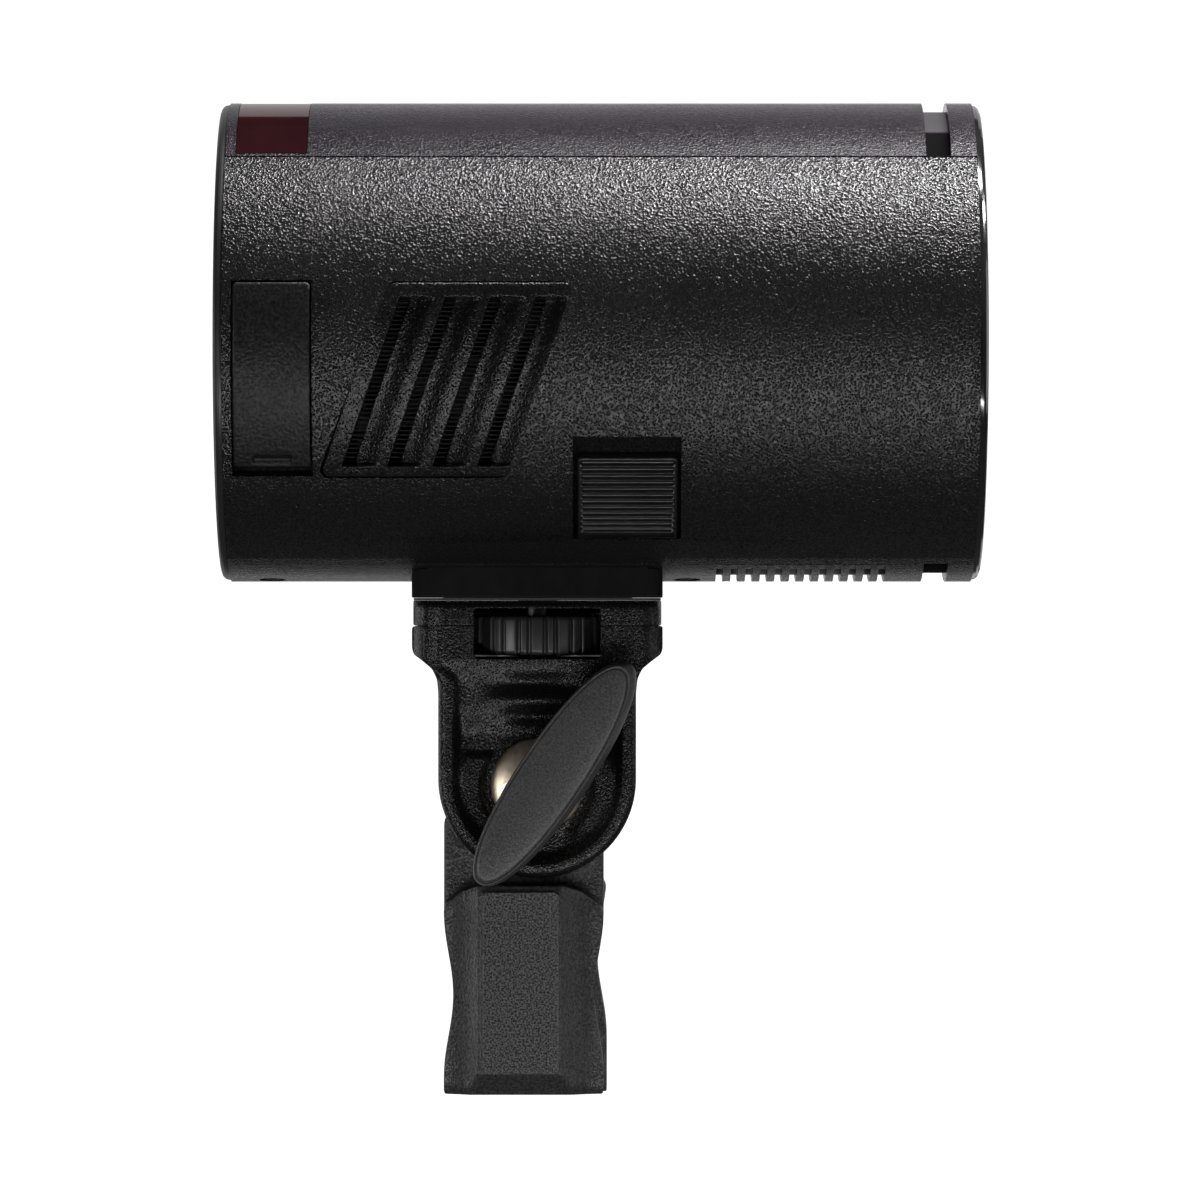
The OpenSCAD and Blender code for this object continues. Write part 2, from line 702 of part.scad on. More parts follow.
module camera_screw() {
    color(STEEL) translate([pivot_x, 0, 66.6]) {
        cylinder(r = screw_r, h = 19.2);
        translate([0, 0, 19.2]) cylinder(r1 = screw_r, r2 = screw_r - 0.7, h = 0.8);
    }
}

module pivot_washer() {
    color(BRASS) difference() {
        union() {
            cross_pin(pivot_x, pivot_z, 7.3, -yoke_y - 0.3, -yoke_y + 1.45);
            cross_pin(pivot_x, pivot_z, 5.6, -yoke_y - 0.8, -yoke_y);
        }
        cross_pin(pivot_x, pivot_z, bolt_r + 0.05, -20, 0);
    }
}

module pivot_bolt() {
    color(STEEL) {
        cross_pin(pivot_x, pivot_z, bolt_r, -19, yoke_y - 1.45);
        translate([pivot_x, yoke_y + 2.6, pivot_z]) rotate([90, 0, 0]) cylinder(r = 6, h = 4.05, $fn = 6);
    }
}

module friction_discs() {
    color(WHITE) for (y = [-6.75, 6.35]) difference() {
        cross_pin(pivot_x, pivot_z, 10, y, y + 0.4);
        cross_pin(pivot_x, pivot_z, bolt_r + 0.1, y - 1, y + 1);
    }
}

// blunt-ended leaf
module leaf(len, wide)
    polygon([for (a = [0 : 6 : 354])
        [len / 2 * sign(cos(a)) * pow(abs(cos(a)), 0.94), wide / 2 * sign(sin(a)) * pow(abs(sin(a)), 0.94)]]);

module tilt_lever() {
    angle = 56;
    color(SOFT_BLACK) difference() {
        union() {
            translate([pivot_x + 2.9, 0, pivot_z + 1.9]) rotate([0, -angle, 0]) {
                across(-20.6, -15.6) leaf(41.8, 11.0);
                across(-21.4, -20.6 + eps) leaf(40.6, 10.0);
            }
            cross_pin(pivot_x, pivot_z, 5.4, -15.6 - eps, -yoke_y - 0.9);
        }
        cross_pin(pivot_x, pivot_z, bolt_r + 0.05, -19.1, 0);
    }
}

// ---------- stand block ----------

function waist(z, middle) = abs(z - middle) < 13 ? 0.75 * (1 + cos(180 * (z - middle) / 13)) : 0;

// side view of the block: left flank from left_mid, right flank from right_mid
module block_outline(left_mid, right_mid, right_grow) {
    top = 33;
    polygon([
        for (z = [0 : 1.5 : top]) [block_half - waist(z, right_mid) + right_grow, z],
        for (z = [top : -1.5 : 0]) [-block_half + waist(z, left_mid), z]
    ]);
}

module shoulder_outline()
    polygon([[-14, 0], [14.2, 0], [14.2, 25], [13.4, 27.6], [11.6, 30.2], [9, 32], [6.2, 33],
             [-7.4, 33], [-10, 32], [-12.4, 30], [-13.6, 27.6], [-14, 25]]);

module block_body() {
    front = yoke_y - 0.3;
    intersection() {
        union() {
            across(-front, 0) block_outline(15.8, 15.8, -0.3);
            across(0, front) block_outline(15.8, 21.8, 0.2);
        }
        linear_extrude(50) polygon([
            [-block_half - 1, -7.6], [-7.4, -front], [7.4, -front], [block_half + 1, -7.6],
            [block_half + 1, 8.4], [8, front], [-8, front], [-block_half - 1, 8.4]
        ]);
        // shoulders beside the tongue
        union() {
            across(-20, -tongue_y - 0.1) shoulder_outline();
            across(tongue_y + 0.1, 20) shoulder_outline();
            across(-tongue_y - 0.1 - eps, tongue_y + 0.1 + eps) translate([-20, 0]) square([40, 50]);
        }
        // chamfer round the foot
        rotate([90, 0, 90]) translate([0, 0, -30]) linear_extrude(60) polygon([
            [-front + 2.6, 0], [front - 2.6, 0], [front, 3.4], [front, 50], [-front, 50], [-front, 3.4]
        ]);
    }
}

module tongue() {
    across(-tongue_y, tongue_y) {
        translate([pivot_x, pivot_z]) circle(12.7);
        polygon([[-block_half, 30], [block_half - 0.3, 30], [block_half - 0.3, 44], [12.6, 50],
                 [-9.5, 52], [-block_half, 43]]);
    }
}

module stand_block() {
    color(SOFT_BLACK) difference() {
        union() {
            block_body();
            tongue();
            cross_pin(0, clamp_z, 7.5, 10, yoke_y + 0.6);
        }
        translate([0, 0, -1]) cylinder(r = socket_r, h = socket_depth + 1);
        translate([0, 0, -eps]) cylinder(r1 = socket_r + 0.8, r2 = socket_r, h = 0.8);
        cross_pin(0, clamp_z, 4.0, 4, 20);
        // moulded relief in the front flank
        translate([block_half - 2.2, 1.2, 9.5]) cube([5, 3.2, 10]);
        cross_pin(pivot_x, pivot_z, bolt_r + 0.05, -20, 20);
    }
}

module grip_pad() {
    color(RUBBER) translate([-0.6, 0, 17.8])
        across(-yoke_y - 0.5, -yoke_y + 0.3 - eps) round_rect(12, 28.6, 0.8);
}

module clamp_shoe() color(BRASS) cross_pin(0, clamp_z, 3.4, 8.3, 10.2);

module clamp_screw() {
    color(STEEL) {
        cross_pin(0, clamp_z, 3.95, 10.25, 19);
        cross_pin(0, clamp_z, 2.6, 18.9, 24);
    }
}

module clamp_knob() {
    lobes = 5;
    color(SOFT_BLACK) difference() {
        union() {
            cross_pin(0, clamp_z, 6.2, 17.2, 19.5);
            translate([0, 0, clamp_z]) across(19.4, 28) {
                circle(8.6);
                for (i = [0 : lobes - 1]) rotate(i * 360 / lobes + 90) translate([7.8, 0]) circle(3.4);
            }
        }
        cross_pin(0, clamp_z, 4.0, 17, 19.1);
        cross_pin(0, clamp_z, 2.65, 19, 24.1);
    }
}

side_shell_left();
side_shell_right();
top_cover();
bottom_cover();
sensor_window();
accessory_rails();
front_bezel();
front_glass();
front_barrel();
accessory_magnets();
reflector();
flash_tube();
lamp_base();
modelling_leds();
bulkhead();
capacitors();
trigger_transformer();
main_board();
battery_bay();
battery_terminals();
rear_panel();
lcd_window();
lcd_module();
control_board();
vent_grille();
vent_mesh();
fan_frame();
fan_rotor();
usb_port();
sync_jack();
slave_sensor();
mount_foot();
thread_insert();
case_screws();
port_cover();
battery_latch();
battery_case();
battery_cells();
control_dial();
set_button();
pill_button(pills[0]);  // mode_button
pill_button(pills[1]);  // group_button
pill_button(pills[2]);  // wireless_button
pill_button(pills[3]);  // lamp_button
round_button(-1);  // test_button
round_button(1);  // power_button
yoke();
yoke_cap();
shoe_pad();
pivot_bolt();
pivot_washer();
friction_discs();
thumb_wheel();
camera_screw();
tilt_lever();
stand_block();
grip_pad();
clamp_screw();
clamp_knob();
clamp_shoe();
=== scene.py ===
import json
import math

import bmesh
import bpy
import numpy as np
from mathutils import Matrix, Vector


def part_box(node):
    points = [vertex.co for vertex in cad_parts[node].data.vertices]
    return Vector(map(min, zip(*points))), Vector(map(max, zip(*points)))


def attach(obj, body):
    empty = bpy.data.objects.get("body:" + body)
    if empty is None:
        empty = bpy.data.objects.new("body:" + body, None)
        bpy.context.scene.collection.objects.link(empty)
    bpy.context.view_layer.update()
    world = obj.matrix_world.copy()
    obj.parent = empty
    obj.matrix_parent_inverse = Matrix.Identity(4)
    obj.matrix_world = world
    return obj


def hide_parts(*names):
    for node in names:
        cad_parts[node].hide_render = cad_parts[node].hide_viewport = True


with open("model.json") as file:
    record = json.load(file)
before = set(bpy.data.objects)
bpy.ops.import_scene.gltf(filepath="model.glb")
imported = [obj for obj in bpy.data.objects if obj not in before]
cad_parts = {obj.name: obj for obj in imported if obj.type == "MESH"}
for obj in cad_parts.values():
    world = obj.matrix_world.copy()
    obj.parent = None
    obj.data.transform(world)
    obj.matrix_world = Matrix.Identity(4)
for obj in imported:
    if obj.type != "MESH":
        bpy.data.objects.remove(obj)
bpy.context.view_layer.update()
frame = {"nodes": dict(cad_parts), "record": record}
scene = bpy.context.scene
nodes = frame["nodes"]
MM = 0.001
HEAD_X, HEAD_Z, RADIUS = 12.0, 119.0, 38.0      # the barrel's middle, its axis's height and its radius, in mm
PIVOT_X, PIVOT_Z = 2.0, 49.0                    # the tilt axis, in mm
PIVOT = Vector((PIVOT_X * MM, 0, PIVOT_Z * MM))
AXIS = Vector((HEAD_X * MM, 0, HEAD_Z * MM))

# ---------- camera, light and floor ----------

camera = bpy.data.objects.new("camera", bpy.data.cameras.new("camera"))
camera.data.lens = 245.3
camera.data.sensor_width = 36.0
camera.data.clip_end = 20.0
camera.location = (0.0119, -1.3, 0.0781)
camera.rotation_euler = (math.pi / 2, 0, 0)
scene.collection.objects.link(camera)
scene.camera = camera
scene.view_settings.view_transform = "Standard"


def area_light(name, place, aim, size, power, colour=(1, 1, 1)):
    data = bpy.data.lights.new(name, "AREA")
    data.shape = "RECTANGLE"
    data.size, data.size_y = size
    data.energy = power
    data.color = colour
    lamp = bpy.data.objects.new(name, data)
    lamp.location = place
    lamp.rotation_euler = (Vector(aim) - Vector(place)).to_track_quat("-Z", "Y").to_euler()
    lamp.visible_camera = False
    scene.collection.objects.link(lamp)


area_light("softbox_top", (0.405, -0.06, 0.66), (0.405, 0, 0.12), (0.74, 0.10), 16.5, (1, 0.985, 1.0))
area_light("table_bounce", (0.18, -0.75, -0.36), (0.05, 0, 0.10), (1.0, 0.12), 8.5)
area_light("left_strip", (-0.80, -0.90, -0.14), (0.0, 0, 0.05), (0.10, 0.5), 3.6)
area_light("right_strip", (0.80, -0.90, -0.14), (0.0, 0, 0.05), (0.10, 0.5), 0.7)
area_light("back_softbox", (-0.1, 1.0, 0.55), (0.01, 0, 0.1), (1.6, 0.8), 2.2)
area_light("back_bounce", (0.0, 0.9, -0.30), (0.01, 0, 0.12), (1.4, 0.4), 1.1)
area_light("far_fill", (0.3, 1.3, 0.16), (0.01, 0, 0.10), (1.2, 0.5), 1.6)
area_light("rear_strip", (-1.0, 0.45, -0.02), (0.0, 0, 0.12), (0.9, 0.6), 2.4)
area_light("flash_side_strip", (1.1, 0.15, 0.30), (0.0, 0, 0.1), (0.3, 0.9), 1.6)

# white as the camera sees it directly, and nearly dark as a source of light
world = bpy.data.worlds.new("studio")
scene.world = world
world.use_nodes = True
wn, wl = world.node_tree.nodes, world.node_tree.links
wn.clear()
seen = wn.new("ShaderNodeBackground")
seen.inputs["Color"].default_value = (1, 1, 1, 1)
seen.inputs["Strength"].default_value = 1.0
felt = wn.new("ShaderNodeBackground")
felt.inputs["Color"].default_value = (1, 1, 1, 1)
felt.inputs["Strength"].default_value = 0.012
path = wn.new("ShaderNodeLightPath")
pick = wn.new("ShaderNodeMixShader")
out = wn.new("ShaderNodeOutputWorld")
wl.new(path.outputs["Is Camera Ray"], pick.inputs["Fac"])
wl.new(felt.outputs[0], pick.inputs[1])
wl.new(seen.outputs[0], pick.inputs[2])
wl.new(pick.outputs[0], out.inputs["Surface"])


def new_mesh(name, bm, smooth=True):
    mesh = bpy.data.meshes.new(name)
    bm.to_mesh(mesh)
    bm.free()
    if smooth:
        for p in mesh.polygons:
            p.use_smooth = True
    ob = bpy.data.objects.new(name, mesh)
    scene.collection.objects.link(ob)
    return ob


# ---------- materials ----------

class Tree:
    """A material's node tree with short ways to add what these finishes need."""

    def __init__(self, name):
        self.mat = bpy.data.materials.new(name)
        self.mat.use_nodes = True
        self.nodes = self.mat.node_tree.nodes
        self.links = self.mat.node_tree.links
        self.shader = self.nodes["Principled BSDF"]
        self.place = self.add("ShaderNodeTexCoord").outputs["Object"]
        self.surface = None

    def round_edges(self, radius_mm):
        n = self.add("ShaderNodeBevel", samples=4)
        n.inputs["Radius"].default_value = radius_mm * MM
        self.surface = n.outputs["Normal"]

    def add(self, kind, **values):
        n = self.nodes.new(kind)
        for key, value in values.items():
            setattr(n, key, value)
        return n

    def put(self, socket, value):
        if hasattr(value, "is_output"):
            self.links.new(value, socket)
        else:
            socket.default_value = value

    def stretched(self, sizes):
        n = self.add("ShaderNodeMapping")
        self.links.new(self.place, n.inputs["Vector"])
        n.inputs["Scale"].default_value = sizes
        return n.outputs["Vector"]

    def noise(self, size_mm, detail=2.0, rough=0.5, where=None):
        n = self.add("ShaderNodeTexNoise")
        self.links.new(where or self.place, n.inputs["Vector"])
        n.inputs["Scale"].default_value = 1000.0 / size_mm
        n.inputs["Detail"].default_value = detail
        n.inputs["Roughness"].default_value = rough
        return n.outputs["Fac"]

    def cells(self, size_mm, smooth):
        n = self.add("ShaderNodeTexVoronoi", feature="SMOOTH_F1")
        self.links.new(self.place, n.inputs["Vector"])
        n.inputs["Scale"].default_value = 1000.0 / size_mm
        n.inputs["Smoothness"].default_value = smooth
        return n.outputs["Distance"]

    def remap(self, value, low, high, a=0.0, b=1.0):
        n = self.add("ShaderNodeMapRange")
        self.links.new(value, n.inputs["Value"])
        n.inputs["From Min"].default_value = low
        n.inputs["From Max"].default_value = high
        n.inputs["To Min"].default_value = a
        n.inputs["To Max"].default_value = b
        return n.outputs["Result"]

    def maths(self, kind, a, b):
        n = self.add("ShaderNodeMath", operation=kind)
        self.put(n.inputs[0], a)
        self.put(n.inputs[1], b)
        return n.outputs[0]

    def mix(self, share, a, b):
        n = self.add("ShaderNodeMix", data_type="RGBA")
        self.put(n.inputs["Factor"], share)
        self.put(n.inputs["A"], a)
        self.put(n.inputs["B"], b)
        return n.outputs["Result"]

    def bump(self, height, depth_mm):
        n = self.add("ShaderNodeBump")
        self.links.new(height, n.inputs["Height"])
        n.inputs["Distance"].default_value = depth_mm * MM
        n.inputs["Strength"].default_value = 1.0
        if self.surface is not None:
            self.links.new(self.surface, n.inputs["Normal"])
        self.surface = n.outputs["Normal"]
        self.put(self.shader.inputs["Normal"], self.surface)

    def edge_wear(self, amount):
        """0 on flats, towards 1 where the surface turns sharply outwards."""
        n = self.add("ShaderNodeNewGeometry")
        return self.remap(n.outputs["Pointiness"], 0.505, 0.58, 0.0, amount)

    def colour(self, value):
        self.put(self.shader.inputs["Base Color"], value)

    def rough(self, value):
        self.put(self.shader.inputs["Roughness"], value)

    def set(self, **values):
        for key, value in values.items():
            self.shader.inputs[key.replace("_", " ")].default_value = value


def grey(v, tint=(1, 1, 1)):
    return (v * tint[0], v * tint[1], v * tint[2], 1)


def grained(name, base, grain_mm, depth_mm, rough=(0.34, 0.52), tint=(1, 1, 1.02), fine=0.25, wear=0.4,
            specular=0.5, speckle=0.12, pits=0.35, wells=False):
    """Moulded plastic with a spark-eroded or leather grain.

    speckle varies its colour and pits its gloss with the grain. With wells, recesses in the barrel are darker.
    """
    t = Tree(name)
    t.round_edges(0.22)
    lumps = t.noise(grain_mm, 2.0, 0.55)
    cells = t.cells(grain_mm * 1.1, 0.6)
    small = t.noise(grain_mm * 0.35, 1.0)
    height = t.maths("ADD", lumps, t.maths("MULTIPLY", small, fine))
    height = t.maths("ADD", t.maths("MULTIPLY", cells, 0.8), height)
    t.bump(height, depth_mm)
    broad = t.noise(14.0, 3.0)
    low, high = grey(base * (1 - speckle), tint), grey(base * (1 + speckle), tint)
    shade = t.mix(t.remap(lumps, 0.42, 0.58), low, high)
    shade = t.mix(t.edge_wear(wear), shade, grey(base * 3.2, tint))
    t.colour(shade)
    t.rough(t.maths("ADD", t.remap(lumps, 0.3, 0.7, *rough), t.remap(broad, 0.3, 0.7, -0.03, 0.04)))
    # the bottoms of the grain catch little light
    level = t.remap(height, 0.75, 1.25, specular * (1 - pits), specular * (1 + 0.55 * pits))
    # recesses start about a millimetre under the barrel's surface
    if wells:
        away = t.add("ShaderNodeVectorMath", operation="DISTANCE")
        flat = t.add("ShaderNodeMapping")
        t.links.new(t.place, flat.inputs["Vector"])
        flat.inputs["Scale"].default_value = (0, 1, 1)
        t.links.new(flat.outputs["Vector"], away.inputs[0])
        away.inputs[1].default_value = (0, 0, AXIS.z)
        level = t.maths("MULTIPLY", level, t.remap(away.outputs["Value"], 0.0366, 0.0376, 0.12, 1.0))
    t.put(t.shader.inputs["Specular IOR Level"], level)
    return t.mat


def plain(name, base, rough=0.4, spread=0.08, metal=0.0, bump=0.004, tint=(1, 1, 1), coat=0.0, specular=0.5):
    """A plain finish: slight mottling, fine scuffs and worn edges."""
    t = Tree(name)
    broad = t.noise(9.0, 4.0, 0.6)
    fine = t.noise(0.35, 2.0)
    scuff = t.noise(1.3, 5.0, 0.7, t.stretched((1, 1, 0.18)))
    colour = base if isinstance(base, tuple) else grey(base, tint)
    light = tuple(min(1, c * 1.25 + 0.004) for c in colour[:3]) + (1,)
    dark = tuple(c * 0.82 for c in colour[:3]) + (1,)
    shade = t.mix(t.remap(broad, 0.3, 0.7), dark, light)
    worn = tuple(min(1, c * 1.6 + 0.02) for c in colour[:3]) + (1,)
    t.colour(t.mix(t.edge_wear(0.3), shade, worn))
    scuffed = t.remap(scuff, 0.3, 0.7, rough - spread, rough + spread)
    t.rough(t.maths("ADD", scuffed, t.remap(broad, 0.3, 0.7, -0.03, 0.03)))
    t.bump(fine, bump)
    t.set(Metallic=metal, Coat_Weight=coat, Specular_IOR_Level=specular)
    return t.mat


def glassy(name, colour, rough=0.03):
    t = Tree(name)
    smear = t.noise(6.0, 5.0, 0.65)
    t.rough(t.remap(smear, 0.35, 0.75, rough, rough + 0.08))
    t.bump(t.noise(2.5, 2.0), 0.003)
    t.set(Base_Color=colour, Transmission_Weight=1.0, IOR=1.5)
    return t.mat


shell = grained("shell_grain", 0.005, 0.33, 0.125, (0.13, 0.19), fine=0.2, pits=1.0, wells=True)
cover = grained("cover_grain", 0.007, 0.31, 0.09, (0.17, 0.24), (1.12, 0.90, 1.2), fine=0.2, pits=0.8,
                specular=0.32)
bracket = grained("bracket_grain", 0.005, 0.28, 0.075, (0.20, 0.28), fine=0.2, pits=0.75, specular=0.40)
vent_skin = grained("vent_grain", 0.005, 0.32, 0.10, (0.16, 0.24), fine=0.2, pits=0.85)
port_skin = grained("port_grain", 0.005, 0.45, 0.07, (0.36, 0.46), pits=0.4, specular=0.32)
block_skin = grained("block_leather", 0.029, 0.36, 0.10, (0.28, 0.38), fine=0.15, pits=0.5, speckle=0.35)
pad_skin = grained("pad_grain", 0.074, 0.30, 0.14, (0.45, 0.60), speckle=0.75, specular=0.15)
gloss = plain("gloss_black", 0.006, 0.13, 0.05, bump=0.001, coat=0.4)
satin = plain("satin_black", 0.012, 0.36, 0.05, bump=0.004)
lever_skin = grained("lever_satin", 0.046, 0.30, 0.03, (0.38, 0.46), wear=0.6, speckle=0.25)
mesh_skin = plain("mesh_black", 0.006, 0.5, 0.05, bump=0.003, specular=0.2)
ink = plain("white_ink", 0.5, 0.5, 0.05, bump=0.002)
foot_skin = plain("foot_rubber", 0.003, 0.8, 0.05, bump=0.01, specular=0.12)
latch_skin = plain("latch_plastic", 0.006, 0.22, 0.04, bump=0.002)

# the slots' floor: glossy and slightly purple at the top; from the seam down it is painted shade, dull black,
# standing in for the shadow at the slots' lower ends
t = Tree("slot_floor")
height = t.add("ShaderNodeSeparateXYZ")
t.links.new(t.place, height.inputs["Vector"])
upper = t.remap(height.outputs["Z"], 0.1513, 0.1517)
mottle = t.remap(t.noise(1.5, 3.0), 0.3, 0.7, 0.8, 1.2)
purple = (1.1, 0.92, 1.15)
# painted shade: the colour goes near-black below the seam, where the slot's lower end lies in shadow
t.colour(t.mix(upper, grey(0.002), t.mix(mottle, grey(0.010, purple), grey(0.016, purple))))
t.rough(t.remap(upper, 0.0, 1.0, 0.9, 0.55))
t.put(t.shader.inputs["Specular IOR Level"], t.remap(upper, 0.0, 1.0, 0.05, 0.5))
t.bump(t.noise(0.35, 2.0), 0.01)
slot_floor = t.mat
rubber = plain("rubber_black", 0.013, 0.56, 0.06, bump=0.005)
inner = plain("inner_black", 0.02, 0.5, 0.06)
steel = plain("zinc_steel", 0.48, 0.3, 0.08, metal=1.0, bump=0.003)
dark_steel = plain("black_oxide", 0.05, 0.38, 0.06, metal=1.0)
ceramic = plain("ceramic_white", 0.72, 0.3, 0.05, tint=(1, 0.98, 0.94))
board = plain("board_green", (0.012, 0.085, 0.04, 1), 0.35, 0.06)
sleeve = plain("capacitor_sleeve", (0.02, 0.03, 0.08, 1), 0.3, 0.05)
cell_wrap = plain("cell_wrap", (0.02, 0.09, 0.17, 1), 0.3, 0.05)
copper = plain("transformer_tape", (0.62, 0.42, 0.08, 1), 0.35, 0.05)
phosphor = plain("led_phosphor", (0.9, 0.62, 0.12, 1), 0.35, 0.04)
nylon = plain("nylon_white", 0.66, 0.45, 0.05)
red_rubber = plain("button_red", (0.24, 0.015, 0.015, 1), 0.5, 0.05)
display = plain("display_film", (0.20, 0.23, 0.20, 1), 0.32, 0.04)
mirror_metal = plain("bright_reflector", 0.8, 0.16, 0.06, metal=1.0, bump=0.006)
clear = glassy("clear_glass", (0.97, 0.98, 0.97, 1))
quartz = glassy("frosted_quartz", (0.96, 0.94, 0.86, 1), 0.25)

t = Tree("smoked_red")
t.rough(t.remap(t.noise(5.0, 4.0), 0.3, 0.7, 0.05, 0.10))
t.colour(t.mix(t.remap(t.noise(9.0, 2.0), 0.3, 0.7), (0.011, 0.0028, 0.0036, 1), (0.017, 0.0042, 0.0054, 1)))
t.shader.inputs["Specular Tint"].default_value = (1.0, 0.52, 0.62, 1)
t.shader.inputs["Specular IOR Level"].default_value = 0.75
red = t.mat

t = Tree("display_glass")
t.rough(t.remap(t.noise(7.0, 5.0, 0.7), 0.3, 0.7, 0.05, 0.14))
# a dark border, and inside it the switched-off display with its fine grid of cells
display_z, half_width, half_height, cell_size = 0.132, 0.0165, 0.0088, 0.0002
from_middle = t.add("ShaderNodeVectorMath", operation="SUBTRACT")
t.links.new(t.place, from_middle.inputs[0])
from_middle.inputs[1].default_value = (0, 0, display_z)
unsigned = t.add("ShaderNodeVectorMath", operation="ABSOLUTE")
t.links.new(from_middle.outputs["Vector"], unsigned.inputs[0])
split = t.add("ShaderNodeSeparateXYZ")
t.links.new(unsigned.outputs["Vector"], split.inputs["Vector"])
out_y, out_z = split.outputs["Y"], split.outputs["Z"]
outer = t.maths("MAXIMUM", t.maths("DIVIDE", out_y, half_width), t.maths("DIVIDE", out_z, half_height))
pixel = t.maths("MAXIMUM", t.maths("PINGPONG", out_y, cell_size), t.maths("PINGPONG", out_z, cell_size))
greenish = (0.92, 1.05, 0.95)
cell = t.mix(t.remap(pixel, 0.00015, 0.00019), grey(0.034, greenish), grey(0.022, greenish))
edge = t.mix(t.remap(t.noise(11.0, 2.0), 0.3, 0.7), grey(0.006), grey(0.009))
t.colour(t.mix(t.remap(outer, 0.99, 1.01), cell, edge))
t.set(Coat_Weight=0.15, Specular_IOR_Level=0.3)
lcd_face = t.mat

t = Tree("turned_brass")
from_pivot = t.add("ShaderNodeVectorMath", operation="SUBTRACT")
t.links.new(t.place, from_pivot.inputs[0])
from_pivot.inputs[1].default_value = PIVOT
rings = t.add("ShaderNodeTexWave", wave_type="RINGS", rings_direction="Y")
t.links.new(from_pivot.outputs[0], rings.inputs["Vector"])
rings.inputs["Scale"].default_value = 1900
rings.inputs["Distortion"].default_value = 1.2
rings.inputs["Detail"].default_value = 2
t.bump(rings.outputs["Fac"], 0.006)
t.colour(t.mix(t.remap(t.noise(2.0, 3.0), 0.3, 0.7), (0.80, 0.66, 0.50, 1), (0.92, 0.78, 0.62, 1)))
t.rough(t.remap(t.noise(0.8, 3.0), 0.3, 0.7, 0.30, 0.40))
t.set(Metallic=1.0)
brass = t.mat

FINISH = {
    "shell_plastic": shell, "cover_plastic": cover, "gloss_black": gloss, "satin_black": satin,
    "inner_plastic": inner, "bracket_plastic": bracket, "rubber_black": rubber, "red_window": red,
    "clear_glass": clear, "frosted_tube": quartz, "lcd_glass": lcd_face, "reflector_metal": mirror_metal,
    "steel": steel, "dark_steel": dark_steel, "brass": brass, "ceramic_white": ceramic,
    "board_green": board, "capacitor_sleeve": sleeve, "cell_sleeve": cell_wrap, "led_yellow": phosphor,
    "nylon_white": nylon, "button_red": red_rubber,
}
SPECIAL = {
    "accessory_rails": slot_floor, "camera_screw": dark_steel, "trigger_transformer": copper,
    "lcd_module": display, "grip_pad": pad_skin,
}
node_slot = {s["node"]: s["material_slot"] for s in frame["record"]["subparts"]}


def dress(ob, mat):
    ob.data.materials.clear()
    ob.data.materials.append(mat)


for name, ob in nodes.items():
    dress(ob, SPECIAL.get(name, FINISH[node_slot[name]]))


# ---------- pieces with softer, finer shapes than their CAD solids ----------

node_body = {n: b for b, members in frame["record"]["behaviour"]["bodies"].items() for n in members}


def stand_for(ob, node, mat):
    dress(ob, mat)
    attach(ob, node_body[node])
    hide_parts(node)


def sculpt(ob, depth, loose, inner):
    """Moves a piece's near and far faces to the distance from the middle plane that depth(x, z, side) gives.

    depth works in mm and returns that distance and three masks: where faces move, where everything
    further out than loose moves, and where everything past the distance is drawn in to it. Faces nearer the
    middle plane than inner stay.
    """
    mesh = ob.data
    n = len(mesh.vertices)
    co = np.empty(n * 3)
    normal = np.empty(n * 3)
    mesh.vertices.foreach_get("co", co)
    mesh.vertices.foreach_get("normal", normal)
    co, normal = co.reshape(-1, 3) * 1000, normal.reshape(-1, 3)
    side = np.sign(co[:, 1])
    face = (normal[:, 1] * side > 0.35) & (np.abs(co[:, 1]) > inner)
    reach, known, any_way, trim = depth(co[:, 0], co[:, 2], side)
    move = (face & known) | (any_way & (np.abs(co[:, 1]) > loose)) | (trim & (np.abs(co[:, 1]) > reach))
    co[move, 1] = (side * reach)[move]
    mesh.vertices.foreach_set("co", (co / 1000).ravel())
    mesh.update()


def softened(node, mat, voxel_mm, passes, depth=None, loose=6.0, inner=6.0):
    """The CAD node's own shape with its edges rounded over."""
    ob = bpy.data.objects.new(node + "_shape", nodes[node].data.copy())
    scene.collection.objects.link(ob)
    grid = ob.modifiers.new("grid", "REMESH")
    grid.mode = "VOXEL"
    grid.voxel_size = voxel_mm * MM
    grid.use_smooth_shade = True
    soften = ob.modifiers.new("soften", "SMOOTH")
    soften.factor = 0.5
    soften.iterations = passes
    ready = bpy.data.meshes.new_from_object(ob.evaluated_get(bpy.context.evaluated_depsgraph_get()))
    ob.modifiers.clear()
    ob.data = ready
    for p in ready.polygons:
        p.use_smooth = True
    if depth is not None:
        sculpt(ob, depth, loose, inner)
        settle = ob.modifiers.new("settle", "SMOOTH")
        settle.factor = 0.5
        settle.iterations = 3
    stand_for(ob, node, mat)


def loft(bm, rings):
    """Joins closed rings of points, in metres, and closes both ends."""
    made = [[bm.verts.new(p) for p in ring] for ring in rings]
    n = len(rings[0])
    for low, high in zip(made, made[1:]):
        for i in range(n):
            bm.faces.new((low[i], low[(i + 1) % n], high[(i + 1) % n], high[i]))
    bm.faces.new(list(reversed(made[0])))
    bm.faces.new(made[-1])
    bmesh.ops.recalc_face_normals(bm, faces=bm.faces)


def lathe_y(bm, profile, x, z, steps=96):
    """Turns (radius, y) points, in mm, round an axis along Y through x, z in metres."""
    loft(bm, [[(x + r * MM * math.cos(a), y * MM, z + r * MM * math.sin(a))
               for a in [2 * math.pi * i / steps for i in range(steps)]] for r, y in profile])


def keep_sharp(ob, degrees=38):
    ob.data.set_sharp_from_angle(angle=math.radians(degrees))
    return ob


# tilt lever: a leaf with a rolled edge, a fine groove and a crowned face, on a round hub
tilt = math.radians(56)
lever_middle = Vector((0.0049, 0, 0.0509))


